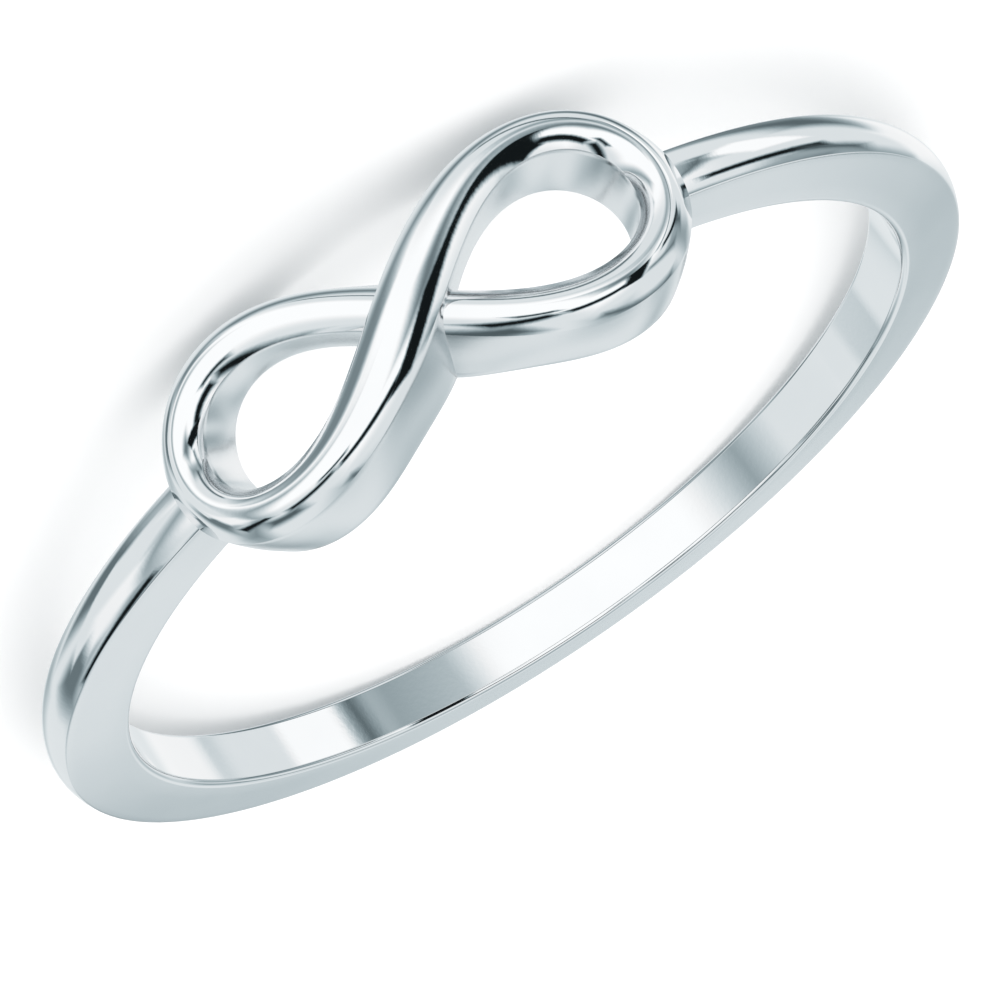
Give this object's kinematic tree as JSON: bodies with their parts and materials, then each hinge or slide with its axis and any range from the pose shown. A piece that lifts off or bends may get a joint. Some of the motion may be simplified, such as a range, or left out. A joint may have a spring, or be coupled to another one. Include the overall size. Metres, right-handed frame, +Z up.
{
  "type": "infinity ring",
  "caption": "Slim polished silver finger ring with an open infinity figure, one run of its strand crossing over the other.",
  "frame": {"origin": "on the ground, under the middle of the ring as it lies on its side", "axes": "+Z up, -Y towards the infinity figure at the front of the ring, +X across it; the finger hole's axis leans about 4.7 degrees from +Z towards +Y"},
  "size_m": [0.0204, 0.0212, 0.0041],
  "materials": {
    "silver": "mirror polished silver"
  },
  "bodies": {
    "root": {"ring": "silver"}
  },
  "joints": []
}
